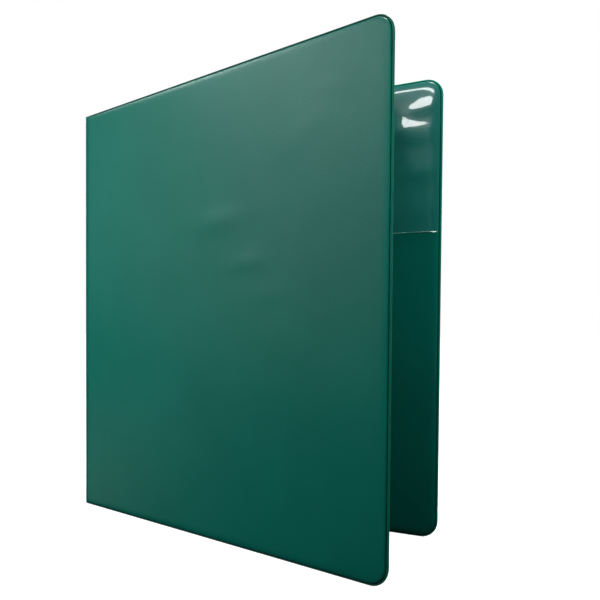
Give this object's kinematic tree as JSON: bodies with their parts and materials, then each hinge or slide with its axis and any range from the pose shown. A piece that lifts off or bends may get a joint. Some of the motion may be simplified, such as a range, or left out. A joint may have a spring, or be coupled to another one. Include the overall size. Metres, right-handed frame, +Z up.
{
  "type": "stamp album",
  "caption": "Ring-bound stamp album: two welded vinyl covers on a flexible spine, a lever-opened ring mechanism and stock leaves with clear strips.",
  "frame": {"origin": "centre of the underside of the resting album's bounding box, on the surface it stands on", "axes": "+X from the spine to the fore edge of the back cover, +Y out of the back cover, +Z up along the spine"},
  "size_m": [0.2634, 0.0924, 0.292],
  "materials": {
    "cover_vinyl": "green calendered vinyl with a very fine grain and a satin sheen",
    "lining": "darker green smooth vinyl lining",
    "board": "grey binder's board",
    "pocket_film": "clear glossy film",
    "nickel": "bright nickel plate",
    "steel": "plain plated steel",
    "leaf_card": "matt black card",
    "strip_film": "clear glossy film strips"
  },
  "bodies": {
    "spine": {"spine_board": "board", "spine_vinyl": "cover_vinyl", "spine_liner": "lining", "front_hinge_web": "cover_vinyl", "back_hinge_web": "cover_vinyl", "ring_housing": "nickel", "rivet_top": "nickel", "rivet_bottom": "nickel", "lever_pin_top": "steel", "lever_pin_bottom": "steel"},
    "front_cover": {"front_board": "board", "front_vinyl": "cover_vinyl", "front_liner": "lining", "front_pocket": "pocket_film"},
    "back_cover": {"back_board": "board", "back_vinyl": "cover_vinyl", "back_liner": "lining", "back_pocket": "pocket_film"},
    "ring_front": {"blade_front": "steel", "ring_front_top": "nickel", "ring_front_middle": "nickel", "ring_front_bottom": "nickel"},
    "ring_back": {"blade_back": "steel", "ring_back_top": "nickel", "ring_back_middle": "nickel", "ring_back_bottom": "nickel"},
    "lever_top": {"lever_top": "nickel"},
    "lever_bottom": {"lever_bottom": "nickel"},
    "leaf_1": {"leaf_1": "leaf_card", "leaf_1_strips": "strip_film"},
    "leaf_2": {"leaf_2": "leaf_card", "leaf_2_strips": "strip_film"},
    "leaf_3": {"leaf_3": "leaf_card", "leaf_3_strips": "strip_film"},
    "leaf_4": {"leaf_4": "leaf_card", "leaf_4_strips": "strip_film"},
    "leaf_5": {"leaf_5": "leaf_card", "leaf_5_strips": "strip_film"},
    "leaf_6": {"leaf_6": "leaf_card", "leaf_6_strips": "strip_film"}
  },
  "joints": [
    {"name": "front_cover_hinge", "type": "hinge", "parent": "spine", "child": "front_cover", "pos_m": [-0.12835, 0.00874, 0.146], "axis": [0, 0, -1], "range_deg": [-12, 168], "deforming": ["front_hinge_web"]},
    {"name": "back_cover_hinge", "type": "hinge", "parent": "spine", "child": "back_cover", "pos_m": [-0.12835, 0.04474, 0.146], "axis": [0, 0, 1], "range_deg": [0, 180], "deforming": ["back_hinge_web"]},
    {"name": "ring_open", "type": "hinge", "parent": "spine", "child": "ring_front", "pos_m": [-0.12495, 0.01784, 0.146], "axis": [0, 0, -1], "range_deg": [0, 7]},
    {"name": "ring_back_open", "type": "hinge", "parent": "spine", "child": "ring_back", "pos_m": [-0.12495, 0.03564, 0.146], "axis": [0, 0, 1], "range_deg": [0, 7]},
    {"name": "lever_top_tilt", "type": "hinge", "parent": "spine", "child": "lever_top", "pos_m": [-0.12535, 0.02674, 0.268], "axis": [0, -1, 0], "range_deg": [0, 18]},
    {"name": "lever_bottom_tilt", "type": "hinge", "parent": "spine", "child": "lever_bottom", "pos_m": [-0.12535, 0.02674, 0.024], "axis": [0, 1, 0], "range_deg": [0, 18]},
    {"name": "leaf_1_turn", "type": "hinge", "parent": "spine", "child": "leaf_1", "pos_m": [-0.11535, 0.02674, 0.146], "axis": [0, 0, -1], "range_deg": [-6, 84]},
    {"name": "leaf_2_turn", "type": "hinge", "parent": "spine", "child": "leaf_2", "pos_m": [-0.11535, 0.02674, 0.146], "axis": [0, 0, -1], "range_deg": [-3.6, 50.4]},
    {"name": "leaf_3_turn", "type": "hinge", "parent": "spine", "child": "leaf_3", "pos_m": [-0.11535, 0.02674, 0.146], "axis": [0, 0, -1], "range_deg": [-1.2, 16.8]},
    {"name": "leaf_4_turn", "type": "hinge", "parent": "spine", "child": "leaf_4", "pos_m": [-0.11535, 0.02674, 0.146], "axis": [0, 0, 1], "range_deg": [0, 18]},
    {"name": "leaf_5_turn", "type": "hinge", "parent": "spine", "child": "leaf_5", "pos_m": [-0.11535, 0.02674, 0.146], "axis": [0, 0, 1], "range_deg": [0, 54]},
    {"name": "leaf_6_turn", "type": "hinge", "parent": "spine", "child": "leaf_6", "pos_m": [-0.11535, 0.02674, 0.146], "axis": [0, 0, 1], "range_deg": [0, 90]}
  ],
  "couplings": [
    {"joint": "ring_back_open", "follows": "ring_open", "ratio": 1},
    {"joint": "lever_top_tilt", "follows": "ring_open", "ratio": 2.57},
    {"joint": "lever_bottom_tilt", "follows": "ring_open", "ratio": 2.57},
    {"joint": "leaf_1_turn", "follows": "front_cover_hinge", "ratio": 0.5},
    {"joint": "leaf_2_turn", "follows": "front_cover_hinge", "ratio": 0.3},
    {"joint": "leaf_3_turn", "follows": "front_cover_hinge", "ratio": 0.1},
    {"joint": "leaf_4_turn", "follows": "back_cover_hinge", "ratio": 0.1},
    {"joint": "leaf_5_turn", "follows": "back_cover_hinge", "ratio": 0.3},
    {"joint": "leaf_6_turn", "follows": "back_cover_hinge", "ratio": 0.5}
  ]
}
